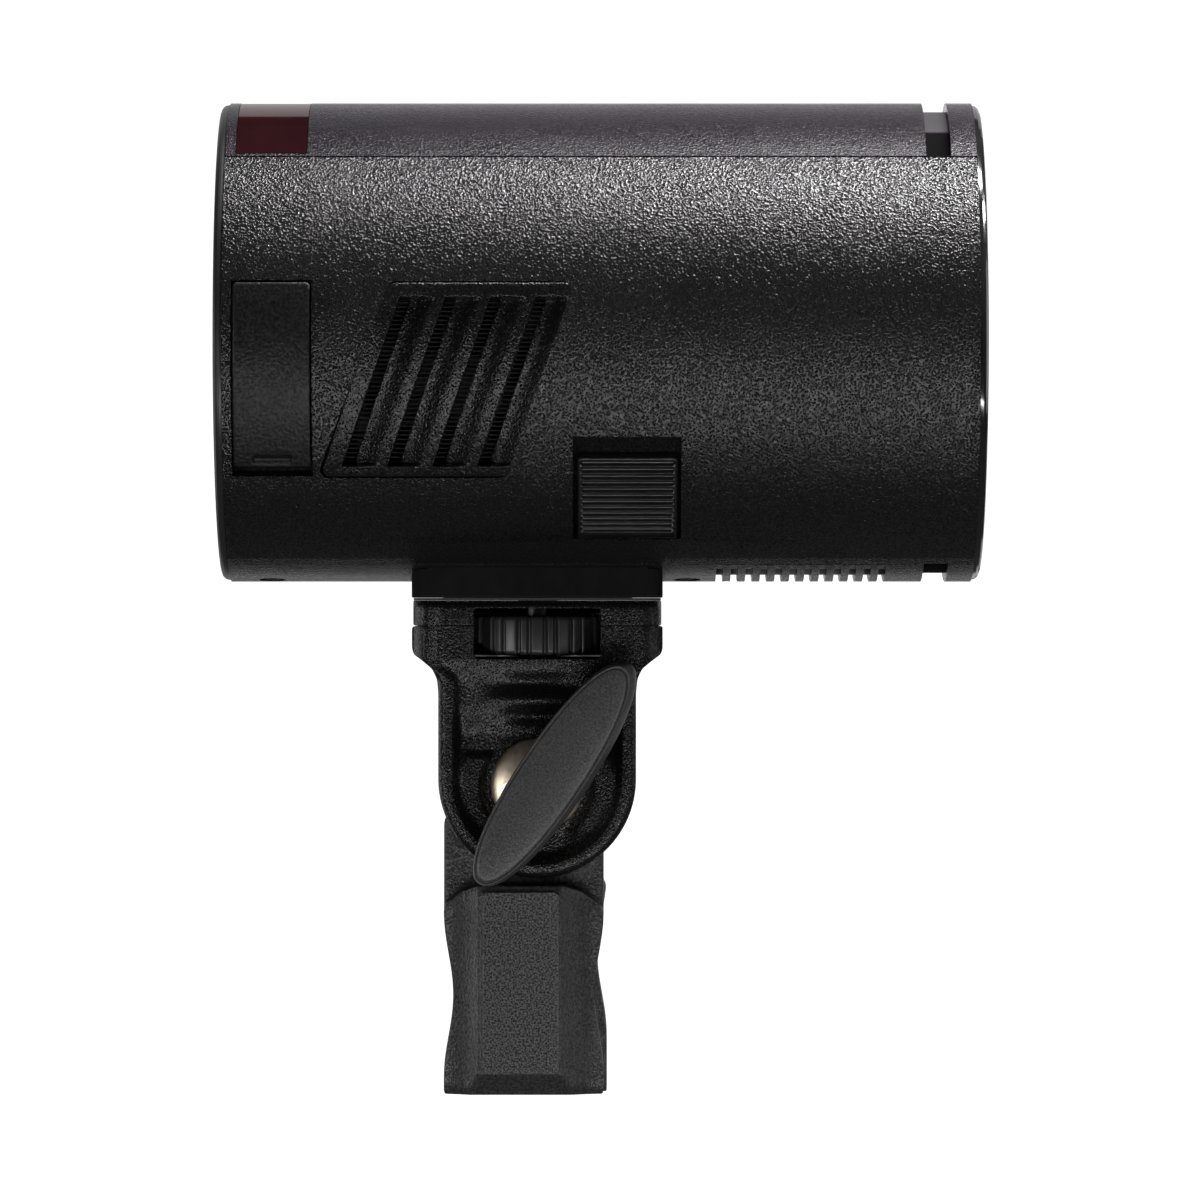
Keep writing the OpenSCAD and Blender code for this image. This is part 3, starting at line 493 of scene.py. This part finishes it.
def leaf_ring(length, width, y, steps=160):
    # towards its face the leaf leans away from its upper right side, which leaves a wider bevel there
    lean_in = max(0.0, min(1.0, (-y - 18.4) / 2.2))
    points = []
    for i in range(steps):
        a = 2 * math.pi * i / steps
        u = length / 2 * math.copysign(abs(math.cos(a)) ** 0.94, math.cos(a))
        v = width / 2 * math.copysign(abs(math.sin(a)) ** 0.94, math.sin(a))
        u, v = u - 0.55 * lean_in, v + 0.34 * lean_in
        points.append((lever_middle.x + (u * math.cos(tilt) - v * math.sin(tilt)) * MM, y * MM,
                       lever_middle.z + (u * math.sin(tilt) + v * math.cos(tilt)) * MM))
    return points


bm = bmesh.new()
loft(bm, [leaf_ring(l, w, y) for l, w, y in [
    (38.6, 8.6, -15.6), (39.8, 9.5, -15.65), (40.9, 10.3, -15.95), (41.5, 10.8, -16.5), (41.8, 11.0, -17.4),
    (41.8, 11.0, -18.4), (41.5, 10.8, -19.4), (41.0, 10.45, -20.3), (40.7, 10.2, -20.72), (40.4, 9.98, -20.86),
    (40.15, 9.8, -20.84), (39.95, 9.62, -20.68), (39.7, 9.44, -20.66), (39.45, 9.26, -20.84), (38.9, 8.95, -20.98),
    (37.6, 8.2, -21.06), (33.0, 6.6, -21.18), (25.0, 4.6, -21.28), (14.0, 2.4, -21.34)]])
lathe_y(bm, [(3.9, -15.7), (4.1, -15.2), (4.2, -14.6), (4.2, -14.2), (4.1, -13.95), (3.9, -13.9)],
        PIVOT.x, PIVOT.z)
stand_for(keep_sharp(new_mesh("tilt_lever_handle", bm)), "tilt_lever", lever_skin)

# brass washer: turned, with a rolled rim
bm = bmesh.new()
lathe_y(bm, [(7.1, -11.55), (7.3, -11.7), (7.3, -12.0), (7.15, -12.3), (6.8, -12.58), (6.2, -12.92), (5.4, -13.22),
             (4.6, -13.44), (3.8, -13.58), (3.1, -13.64)], PIVOT.x, PIVOT.z, 128)
stand_for(keep_sharp(new_mesh("pivot_washer_disc", bm)), "pivot_washer", brass)

# locking wheel: wide and narrow ridges by turns
wheel_low, wheel_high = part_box("thumb_wheel")
bm = bmesh.new()


def wheel_ring(z, shrink, steps=720):
    points = []
    for i in range(steps):
        a = 360.0 * i / steps
        near = min(abs((a - c + 10) % 20 - 10) for c in (4, 16))
        depth = 0.62 * math.exp(-((near / 1.55) ** 4))
        r = 12.4 - shrink - depth * (1 - 0.3 * shrink)
        points.append((PIVOT.x + r * MM * math.cos(math.radians(a)), r * MM * math.sin(math.radians(a)), z))
    return points


wheel_edge = [(0.0, 6.0), (0.0, 0.8), (0.0001, 0.35), (0.0004, 0.08), (0.0008, 0.0)]
loft(bm, [wheel_ring(wheel_low.z + rise, shrink) for rise, shrink in wheel_edge]
     + [wheel_ring(wheel_high.z - rise, shrink) for rise, shrink in reversed(wheel_edge)])
stand_for(keep_sharp(new_mesh("thumb_wheel_rim", bm), 50), "thumb_wheel", satin)


# curved plates on the barrel's near side, built on a grid of angle (up from straight down) and place along
def barrel_point(radius, angle, u):
    a = math.radians(angle)
    return (AXIS.x + u * MM, -radius * MM * math.sin(a), AXIS.z - radius * MM * math.cos(a))


def barrel_plate(name, angles, us, corner, edge, height, depth, na, nu):
    """A plate with rounded corners and edges, on na by nu cells.

    height adds to its outer face, given the place up and along the plate and the distance inside its edge, in mm.
    """
    mm_per_degree = math.radians(1) * RADIUS
    w, h = us[1] - us[0], (angles[1] - angles[0]) * mm_per_degree
    bm = bmesh.new()
    outer = []
    for i in range(na + 1):
        row = []
        for k in range(nu + 1):
            a, u = h * i / na, w * k / nu
            # distance inside the outline, rounded at the corners
            da, du = min(a, h - a), min(u, w - u)
            if da < corner and du < corner:
                inside = corner - math.hypot(corner - da, corner - du)
            else:
                inside = min(da, du)
            reach = max(0.0, inside)
            drop = 0.0 if reach >= edge else edge - math.sqrt(max(0.0, edge ** 2 - (edge - reach) ** 2))
            if inside < 0:
                ca = corner if a < h / 2 else h - corner
                cu = corner if u < w / 2 else w - corner
                span = math.hypot(a - ca, u - cu)
                a, u = ca + (a - ca) * corner / span, cu + (u - cu) * corner / span
            r = RADIUS - drop + height(a, u, reach)
            row.append((r, angles[0] + a / mm_per_degree, us[0] + u))
        outer.append(row)
    top = [[bm.verts.new(barrel_point(*p)) for p in row] for row in outer]
    base = [[bm.verts.new(barrel_point(RADIUS - depth, p[1], p[2])) for p in row] for row in outer]
    for i in range(na):
        for k in range(nu):
            bm.faces.new((top[i][k], top[i + 1][k], top[i + 1][k + 1], top[i][k + 1]))
            bm.faces.new((base[i][k], base[i][k + 1], base[i + 1][k + 1], base[i + 1][k]))
    for k in range(nu):
        bm.faces.new((top[0][k], top[0][k + 1], base[0][k + 1], base[0][k]))
        bm.faces.new((top[na][k], base[na][k], base[na][k + 1], top[na][k + 1]))
    for i in range(na):
        bm.faces.new((top[i][0], base[i][0], base[i + 1][0], top[i + 1][0]))
        bm.faces.new((top[i][nu], top[i + 1][nu], base[i + 1][nu], base[i][nu]))
    bmesh.ops.remove_doubles(bm, verts=bm.verts, dist=2e-6)
    bmesh.ops.recalc_face_normals(bm, faces=bm.faces)
    return new_mesh(name, bm)


def latch_height(a, u, reach):
    """Twelve rounded ribs inside a plain rim."""
    if reach < 0.5:
        return 0.1
    ribs = 12
    start, end = 1.0, 17.04 - 1.0
    if not start < a < end:
        return -0.3
    phase = (a - start) / (end - start) * ribs % 1 - 0.5
    flank = min(1.0, (reach - 0.5) / 0.2)
    return 0.1 - flank * (0.55 - 0.5 * math.exp(-((phase / 0.22) ** 2)))


latch = barrel_plate("battery_latch_slider", (34.6, 60.3), (-3.6, 12.0), 0.8, 0.35, latch_height, 1.7, 300, 60)
stand_for(keep_sharp(latch, 50), "battery_latch", latch_skin)


def lid_height(a, u, reach):
    """A fingernail groove along the lid's lower edge."""
    return -0.5 * math.exp(-((a - 1.4) / 0.55) ** 2) if 3.2 < u < 9.0 else 0.0


lid = barrel_plate("port_cover_lid", (57.5, 102.7), (-57.0, -44.8), 0.9, 0.4, lid_height, 1.6, 140, 60)
stand_for(keep_sharp(lid, 50), "port_cover", port_skin)


def ramp(v, a, b):
    """0 at a, 1 at b, eased at both ends."""
    t = np.clip((v - a) / (b - a), 0, 1)
    return t * t * (3 - 2 * t)


def inside_yoke(x, z):
    """Distance in mm inside the ear's outline seen from the side."""
    across = x - PIVOT_X
    ear = 15.6 - np.where(z < 49.9, np.hypot(across, z - 49.9), np.abs(across))
    return ear + 4.2 * ramp(z, 65.0, 70.0)


def yoke_face(x, z, side):
    """A beaded rim round a sunk field, with hollows under the wheel and pads beside the washer's pocket."""
    across = x - PIVOT_X
    d = inside_yoke(x, z)
    below_head = 1 - ramp(z, 64.5, 69.0)
    bead = 1.35
    rim = bead - np.sqrt(np.clip(bead ** 2 - (np.clip(d, 0, bead) - bead) ** 2, 0, None))
    well = ramp(d, 2.0, 3.9)
    deep = 0.55 + 1.15 * (1 - ramp(z, 56.5, 61.5)) + 0.5 * ramp(np.abs(across), 8.5, 12.0) * ramp(z, 50, 60)
    back = well * deep * below_head
    # two shallow hollows with a ridge between them, under the wheel's window
    for low, reach, width, height in [(65.1, 0.8, 8.6, 1.25), (59.8, 0.9, 7.6, 1.2), (62.4, -0.5, 10.4, 1.0)]:
        fade = 1 - ramp(np.abs(across), width * 0.15, width)
        back += reach * np.exp(-((z - low) / height) ** 2) * fade * well
    # raised pads either side of the pivot's washer
    out = np.hypot(across, z - PIVOT_Z)
    pads = ramp(out, 8.2, 9.0) * (1 - ramp(out, 11.6, 12.9))
    pads = pads * (1 - ramp(z, 53.2, 54.4)) * ramp(np.abs(across), 4.0, 7.5)
    back -= 0.85 * pads * well
    pocket = 1 - ramp(out, 7.7, 8.3)
    back = back * (1 - pocket) + 1.6 * pocket
    # broad round corners on the head
    corner = 5.2
    over = np.clip(np.abs(across) - (19.8 - corner), 0, corner - 0.05)
    back = np.maximum(back, (corner - np.sqrt(corner ** 2 - over ** 2)) * (1 - below_head))
    reach = 13.0 - np.clip(np.maximum(back, rim * below_head), 0, 3.6)
    past_bolt, past_pocket = out > 3.6, out > 7.7
    return reach, (d > 0.15) & past_bolt, (d > 0.5) & past_pocket, past_bolt


def cap_face(x, z, side):
    """Round corners, like the yoke's head, and an eased top edge."""
    across = np.abs(x - PIVOT_X)
    corner = 5.2
    over = np.clip(across - (19.6 - corner), 0, corner - 0.05)
    back = corner - np.sqrt(corner ** 2 - over ** 2) + 0.7 * ramp(z, 76.6, 78.0) ** 2
    return 12.8 - back, across < 19.3, False, True


def block_face(x, z, side):
    """A flat strip for the pad, flanks that fall away steeply and flatten, round shoulders and a bevelled foot."""
    across = np.where(side < 0, x + 0.6, x)
    s = np.clip((np.abs(across) - 6.5) / 6.6, 0, 1)
    back = 4.9 * (1 - (1 - s) ** 1.9)
    arch = 31.6 - 5.6 * (1 - np.sqrt(1 - 0.985 * s ** 2))
    back += 2.6 * np.clip((z - arch) / 4.0, 0, 1.3) ** 1.7
    foot = 2.7 * np.clip((3.5 - z) / 3.5, 0, 1)
    flank_foot = 0.9 * np.clip((2.0 - z) / 2.0, 0, 1) ** 2
    back = np.maximum(back + flank_foot, foot)
    reach = np.clip(12.7 - back, 6.9, 12.7)
    clear_of_boss = (side < 0) | (np.hypot(x, z - 16) > 8.4)
    below_neck = (z < 34.5) & clear_of_boss
    shoulder = (z > 24.5) & (z < 34.2) & (z > arch - 1.0)
    return reach, below_neck & (z > 0.05), shoulder, below_neck


softened("yoke", bracket, 0.33, 2, yoke_face, 11.1)
softened("yoke_cap", bracket, 0.2, 3, cap_face)
softened("mount_foot", foot_skin, 0.25, 3)
softened("stand_block", block_skin, 0.36, 2, block_face, 6.9, 6.9)
softened("grip_pad", pad_skin, 0.16, 5)
softened("clamp_knob", satin, 0.25, 7)
softened("control_dial", satin, 0.14, 3)
for button in ("mode_button", "group_button", "wireless_button", "lamp_button", "power_button", "set_button"):
    softened(button, rubber, 0.1, 7)
softened("test_button", red_rubber, 0.1, 7)


# marks printed on the rear panel and its buttons: each is a set of thin bars, in mm from the button's middle
# as the user sees it, (across, up, across, up)
def arc_bars(r, start, end, steps):
    """Bars along an arc of radius r, between two angles in degrees."""
    turn = [math.radians(start + (end - start) * i / steps) for i in range(steps + 1)]
    return [(r * math.cos(a), r * math.sin(a), r * math.cos(b), r * math.sin(b)) for a, b in zip(turn, turn[1:])]


def printed(name, node, middle, top_mm, bars, width=0.22):
    """A mark that rides with a node, on its face at x = top_mm, round middle in mm from the barrel's axis."""
    bm = bmesh.new()
    for x0, z0, x1, z1 in bars:
        along = Vector((x1 - x0, z1 - z0))
        unit = along.normalized() if along.length else Vector((1, 0))
        side = Vector((-unit.y, unit.x)) * width / 2
        start, end = Vector((x0, z0)) - unit * width * 0.35, Vector((x1, z1)) + unit * width * 0.35
        corners = [start + side, end + side, end - side, start - side]
        loft(bm, [[(top_mm * MM - h, (middle[0] - c.x) * MM, (HEAD_Z + middle[1] + c.y) * MM) for c in corners]
                  for h in (-4e-5, 3e-5)])
    ob = new_mesh(name, bm, smooth=False)
    dress(ob, ink)
    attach(ob, node_body[node])


button_top, panel_top = -47.9, -47.5
printed("mode_button_mark", "mode_button", (18.5, -8), button_top,
        [(-1.1, 0.7, 1.1, 0.7), (-1.1, 0, 1.1, 0), (-1.1, -0.7, 1.1, -0.7)])
printed("group_button_mark", "group_button", (17, -20.5), button_top,
        [(x, z, x + 0.35, z) for x in (-0.75, 0.4) for z in (-0.55, 0.55)], 0.6)
printed("wireless_button_mark", "wireless_button", (-18.5, -8), button_top,
        [(x, z - 0.9, u, v - 0.9) for r in (0.8, 1.35, 1.9) for x, z, u, v in arc_bars(r, 45, 135, 8)]
        + [(-0.05, -0.8, 0.05, -0.8)])
printed("lamp_button_mark", "lamp_button", (-17, -20.5), button_top,
        arc_bars(0.6, 0, 360, 16) + [(math.cos(a), math.sin(a), 1.5 * math.cos(a), 1.5 * math.sin(a))
                                     for a in [math.pi * i / 4 for i in range(8)]])
printed("power_button_mark", "power_button", (27, 13), button_top,
        arc_bars(1.05, -235, 55, 20) + [(0, 0.35, 0, 1.4)])
printed("test_button_mark", "test_button", (-27, 13), button_top,
        [(0.35, 1.3, -0.55, -0.05), (-0.55, -0.05, 0.55, 0.05), (0.55, 0.05, -0.35, -1.3)])
printed("dial_scale_marks", "rear_panel", (0, -17.5), panel_top,
        [(r * math.cos(a), r * math.sin(a), (r + 0.9) * math.cos(a), (r + 0.9) * math.sin(a))
         for r, a in [(10.5, math.radians(d)) for d in range(-60, 241, 15)]], 0.2)


# vent: a rounded frame round four slanted slots, each running into a vane that rises to the surface.
# In mm from the barrel's middle: its lower and upper edges, then its lower left, lower right and upper left
# corners
vent_low, vent_high = -22.0, 8.4
vent_left, vent_right, vent_top_left = -43.8, -14.0, -33.2
lean = (vent_top_left - vent_left) / (vent_high - vent_low)
pitch, slots = 7.03, 4


def vent_depth(u, z):
    """How far below the barrel's surface the panel lies at u along the barrel and z above its axis."""
    along = u - (vent_left + 3.0) - lean * (z - vent_low)
    inside_z = np.minimum(z - (vent_low + 1.9), (vent_high - 2.5) - z)
    which = np.clip(np.floor(along / pitch), 0, slots - 1)
    t = along - which * pitch
    vane = 2.15 * (1 - ramp(t, 1.7, 6.1)) ** 0.9
    vane = np.where((along < 0) | (along > slots * pitch - 0.9), 0, vane)
    lip = ramp(along, -0.12, 0.1)
    return vane * ramp(inside_z, -0.15, 0.55) * lip


def vent_panel():
    across, down = 260, 170
    gap = 0.15
    us = np.linspace(0, 1, across + 1)
    zs = np.linspace(0, 1, down + 1)
    width, height = vent_right - vent_left - 2 * gap, vent_high - vent_low - 2 * gap
    z = np.repeat((vent_low + gap + height * zs)[:, None], across + 1, axis=1)
    u = vent_left + gap + lean * (z - vent_low) + width * us[None, :]
    # round the four corners by drawing the ends of the upper and lower rows in
    edge_u = np.minimum(us, 1 - us)[None, :] * width
    edge_z = np.minimum(zs, 1 - zs)[:, None] * height
    corner = 1.7
    short = np.clip(corner - edge_z, 0, corner)
    pull = (corner - np.sqrt(corner ** 2 - short ** 2)) * (1 - np.clip(edge_u / (width / 2), 0, 1))
    u = u + np.where(us[None, :] < 0.5, pull, -pull)
    near_edge = np.minimum(edge_u, edge_z)
    edge_r = 0.35
    roll = edge_r - np.sqrt(np.clip(edge_r ** 2 - (edge_r - np.clip(near_edge, 0, edge_r)) ** 2, 0, None))
    reach = RADIUS - roll - vent_depth(u, z)
    y = -np.sqrt(reach ** 2 - z ** 2)
    points = np.stack([(u + HEAD_X) * MM, y * MM, (z + HEAD_Z) * MM], axis=2)
    bm = bmesh.new()
    top = [[bm.verts.new(p) for p in row] for row in points]
    back_r = 35.75
    back = points.copy()
    back[..., 1] = -np.sqrt(back_r ** 2 - z ** 2) * MM
    base = [[bm.verts.new(p) for p in row] for row in back]
    along = u - (vent_left + 3.0) - lean * (z - vent_low)
    t = along - np.clip(np.floor(along / pitch), 0, slots - 1) * pitch
    mid, mid_along, mid_z = [0.25 * (g[1:, 1:] + g[:-1, 1:] + g[1:, :-1] + g[:-1, :-1]) for g in (t, along, z)]
    slot = ((mid > 0.15) & (mid < 1.75) & (mid_along > 0) & (mid_along < slots * pitch)
            & (mid_z > vent_low + 2.3) & (mid_z < vent_high - 2.9))
    solid = ~slot

    def filled(i, k):
        return 0 <= i < down and 0 <= k < across and solid[i, k]

    for i in range(down):
        for k in range(across):
            if not solid[i, k]:
                continue
            bm.faces.new((top[i][k], top[i][k + 1], top[i + 1][k + 1], top[i + 1][k]))
            bm.faces.new((base[i][k], base[i + 1][k], base[i + 1][k + 1], base[i][k + 1]))
            if not filled(i - 1, k):
                bm.faces.new((top[i][k], base[i][k], base[i][k + 1], top[i][k + 1]))
            if not filled(i + 1, k):
                bm.faces.new((top[i + 1][k + 1], base[i + 1][k + 1], base[i + 1][k], top[i + 1][k]))
            if not filled(i, k - 1):
                bm.faces.new((top[i + 1][k], base[i + 1][k], base[i][k], top[i][k]))
            if not filled(i, k + 1):
                bm.faces.new((top[i][k + 1], base[i][k + 1], base[i + 1][k + 1], top[i + 1][k + 1]))
    bmesh.ops.delete(bm, geom=[v for v in bm.verts if not v.link_faces], context="VERTS")
    return new_mesh("vent_grille_louvres", bm)


stand_for(keep_sharp(vent_panel(), 50), "vent_grille", vent_skin)

# fine mesh behind the slots: close bars along the barrel
bm = bmesh.new()
bar_section = [(0.0, -0.16), (0.24, -0.1), (0.3, 0.0), (0.24, 0.1), (0.0, 0.16)]
mesh_r, bar_start, bar_end = 35.0, -43.2, -5.9
for i in range(44):
    z = -21.4 + i * 0.68
    y = -math.sqrt(mesh_r ** 2 - z ** 2)
    loft(bm, [[((HEAD_X + u) * MM, (y - dy) * MM, (HEAD_Z + z + dz) * MM) for dy, dz in bar_section]
              for u in (bar_start, bar_start + 0.1, bar_end - 0.1, bar_end)])
# and a liner of the same mesh behind the slots in the bottom cover
rows = [math.radians(d) for d in range(-20, 21, 2)]
loft(bm, [[((HEAD_X + u) * MM, math.sin(a) * r * MM, (HEAD_Z - math.cos(a) * r) * MM)
           for r, side in ((36.9, rows), (36.5, reversed(rows))) for a in side]
          for u in (17.4, 26.8, 36.2, 45.7)])
stand_for(new_mesh("vent_mesh_bars", bm), "vent_mesh", mesh_skin)


# ---------- floor ----------

# flat under the part, then curving up into a backdrop
bm = bmesh.new()
floor_z, bend_y, bend_r = -0.35, 1.3, 0.5
profile = [(-2.2, floor_z), (bend_y, floor_z)]
profile += [(bend_y + bend_r * math.sin(a), floor_z + bend_r - bend_r * math.cos(a))
            for a in [math.radians(d) for d in range(9, 91, 9)]]
profile += [(bend_y + bend_r, 2.6)]
rows = [[bm.verts.new((x, y, z)) for y, z in profile] for x in (-3.0, 3.0)]
for i in range(len(profile) - 1):
    bm.faces.new((rows[0][i], rows[1][i], rows[1][i + 1], rows[0][i + 1]))
floor = new_mesh("floor", bm)
t = Tree("pale_floor")
t.colour(t.mix(t.noise(300.0, 3.0), grey(0.80), grey(0.84)))
t.rough(0.85)
t.shader.inputs["Emission Color"].default_value = (1, 1, 1, 1)
t.shader.inputs["Emission Strength"].default_value = 0.93
# white as the camera sees it directly, but dim as a source of light, so that the part keeps its dark tones
dim = t.add("ShaderNodeBsdfDiffuse")
dim.inputs["Color"].default_value = grey(0.05)
ray = t.add("ShaderNodeLightPath")
share = t.add("ShaderNodeMixShader")
t.links.new(ray.outputs["Is Camera Ray"], share.inputs["Fac"])
t.links.new(dim.outputs[0], share.inputs[1])
t.links.new(t.shader.outputs[0], share.inputs[2])
t.links.new(share.outputs[0], t.nodes["Material Output"].inputs["Surface"])
dress(floor, t.mat)
